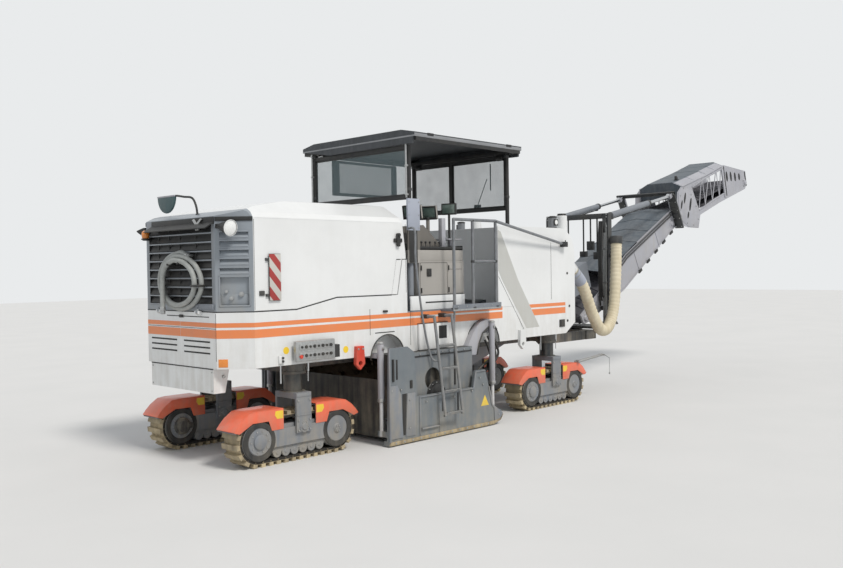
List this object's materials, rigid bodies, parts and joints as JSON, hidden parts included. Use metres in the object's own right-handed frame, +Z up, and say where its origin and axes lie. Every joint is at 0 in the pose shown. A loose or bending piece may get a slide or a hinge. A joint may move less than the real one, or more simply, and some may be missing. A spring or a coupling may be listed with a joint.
{
  "type": "cold planer milling machine",
  "caption": "Tracked road milling machine with hood, operator platform under a canopy, milling drum between side plates, lifting legs and a slewing discharge conveyor.",
  "frame": {"origin": "ground level under the middle of the machine's overall length and width", "axes": "+X forward towards the discharge conveyor, +Y left, +Z up"},
  "size_m": [14.6148, 2.9196, 4.471],
  "materials": {
    "white_paint": "satin",
    "grey_paint": "satin",
    "light_grey_paint": "satin",
    "dark_paint": "satin",
    "beige_paint": "satin",
    "red_paint": "satin",
    "worn_steel": "matt",
    "dusty_shoes": "matt",
    "chrome_rod": "polished",
    "belt_rubber": "matt",
    "hose_grey": "matt",
    "hose_cream": "matt",
    "roof_panel": "matt",
    "screen_glass": "clear"
  },
  "bodies": {
    "chassis": {"chassis_frame": "dark_paint", "front_frame": "dark_paint", "lower_body": "white_paint", "front_body": "white_paint", "engine_block": "grey_paint", "platform": "grey_paint", "consoles": "beige_paint", "railings": "light_grey_paint", "ladders": "light_grey_paint", "drum_housing": "grey_paint", "plate_cylinders": "light_grey_paint", "side_controls": "dark_paint", "lifting_lugs": "red_paint", "primary_conveyor": "grey_paint", "suction_hose": "hose_cream"},
    "hood": {"hood_shell": "white_paint", "rear_cowl": "light_grey_paint", "grille": "dark_paint", "rear_lamps": "dark_paint", "rear_mirror": "dark_paint", "hose_coil": "hose_grey", "hose_tail": "hose_grey"},
    "canopy": {"canopy_roof": "roof_panel", "canopy_frame": "dark_paint", "canopy_screens": "screen_glass"},
    "drum": {"milling_drum": "worn_steel"},
    "scraper": {"scraper": "grey_paint"},
    "side_plate_right": {"side_plate_right": "grey_paint"},
    "side_plate_left": {"side_plate_left": "grey_paint"},
    "slewing_mast": {"slew_mast": "dark_paint"},
    "inner_boom": {"boom_inner": "light_grey_paint", "belt_inner": "belt_rubber"},
    "outer_boom": {"boom_outer": "light_grey_paint", "belt_outer": "belt_rubber"},
    "lift_barrels": {"lift_barrels": "grey_paint"},
    "lift_rods": {"lift_rods": "chrome_rod"},
    "leg_rear_right": {"leg_rear_right": "dark_paint"},
    "track_rear_right": {"track_frame_rear_right": "grey_paint", "track_loop_rear_right": "dusty_shoes"},
    "leg_rear_left": {"leg_rear_left": "dark_paint"},
    "track_rear_left": {"track_frame_rear_left": "grey_paint", "track_loop_rear_left": "dusty_shoes"},
    "leg_front_right": {"leg_front_right": "dark_paint"},
    "track_front_right": {"track_frame_front_right": "grey_paint", "track_loop_front_right": "dusty_shoes"},
    "leg_front_left": {"leg_front_left": "dark_paint"},
    "track_front_left": {"track_frame_front_left": "grey_paint", "track_loop_front_left": "dusty_shoes"}
  },
  "joints": [
    {"name": "hood_open", "type": "hinge", "parent": "chassis", "child": "hood", "pos_m": [-7.18039, 0, 1.762], "axis": [0, -1, 0], "range_deg": [0, 50]},
    {"name": "canopy_lower", "type": "slide", "parent": "chassis", "child": "canopy", "axis": [0, 0, -1], "range_m": [0, 0.65]},
    {"name": "drum_spin", "type": "hinge", "parent": "chassis", "child": "drum", "pos_m": [-4.15039, 0, 0.545], "axis": [0, 1, 0], "continuous": true},
    {"name": "scraper_lift", "type": "slide", "parent": "chassis", "child": "scraper", "axis": [0, 0, 1], "range_m": [0, 0.28]},
    {"name": "side_plate_right_lift", "type": "slide", "parent": "chassis", "child": "side_plate_right", "axis": [0, 0, 1], "range_m": [0, 0.3]},
    {"name": "side_plate_left_lift", "type": "slide", "parent": "chassis", "child": "side_plate_left", "axis": [0, 0, 1], "range_m": [0, 0.3]},
    {"name": "leg_rear_right_lift", "type": "slide", "parent": "chassis", "child": "leg_rear_right", "axis": [0, 0, 1], "range_m": [-0.25, 0.2]},
    {"name": "track_rear_right_steer", "type": "hinge", "parent": "leg_rear_right", "child": "track_rear_right", "pos_m": [-6.16039, -0.817, 0.79], "axis": [0, 0, 1], "range_deg": [-15, 15]},
    {"name": "leg_rear_left_lift", "type": "slide", "parent": "chassis", "child": "leg_rear_left", "axis": [0, 0, 1], "range_m": [-0.25, 0.2]},
    {"name": "track_rear_left_steer", "type": "hinge", "parent": "leg_rear_left", "child": "track_rear_left", "pos_m": [-6.16039, 0.817, 0.79], "axis": [0, 0, 1], "range_deg": [-15, 15]},
    {"name": "leg_front_right_lift", "type": "slide", "parent": "chassis", "child": "leg_front_right", "axis": [0, 0, 1], "range_m": [-0.25, 0.2]},
    {"name": "track_front_right_steer", "type": "hinge", "parent": "leg_front_right", "child": "track_front_right", "pos_m": [-1.07039, -0.817, 0.79], "axis": [0, 0, 1], "range_deg": [-15, 15]},
    {"name": "leg_front_left_lift", "type": "slide", "parent": "chassis", "child": "leg_front_left", "axis": [0, 0, 1], "range_m": [-0.25, 0.2]},
    {"name": "track_front_left_steer", "type": "hinge", "parent": "leg_front_left", "child": "track_front_left", "pos_m": [-1.07039, 0.817, 0.79], "axis": [0, 0, 1], "range_deg": [-15, 15]},
    {"name": "conveyor_slew", "type": "hinge", "parent": "chassis", "child": "slewing_mast", "pos_m": [0.74961, 0, 1.09], "axis": [0, 0, 1], "range_deg": [-50, 50], "deforming": ["suction_hose"]},
    {"name": "conveyor_lift", "type": "hinge", "parent": "slewing_mast", "child": "inner_boom", "pos_m": [1.09961, 0, 1.45], "axis": [0, -1, 0], "range_deg": [-10, 4]},
    {"name": "conveyor_fold", "type": "hinge", "parent": "inner_boom", "child": "outer_boom", "pos_m": [3.99635, 0, 3.05569], "axis": [0, 1, 0], "range_deg": [0, 60]},
    {"name": "lift_barrel_tilt", "type": "hinge", "parent": "slewing_mast", "child": "lift_barrels", "pos_m": [1.21961, 0, 3.105], "axis": [0, -1, 0], "range_deg": [-12, 5]},
    {"name": "lift_rod_slide", "type": "slide", "parent": "lift_barrels", "child": "lift_rods", "axis": [0.9797, 0, 0.2004], "range_m": [-0.12, 0.29]}
  ],
  "couplings": [
    {"joint": "lift_barrel_tilt", "follows": "conveyor_lift", "ratio": 1.1467},
    {"joint": "lift_rod_slide", "follows": "conveyor_lift", "m_per_rad": -1.6123}
  ]
}
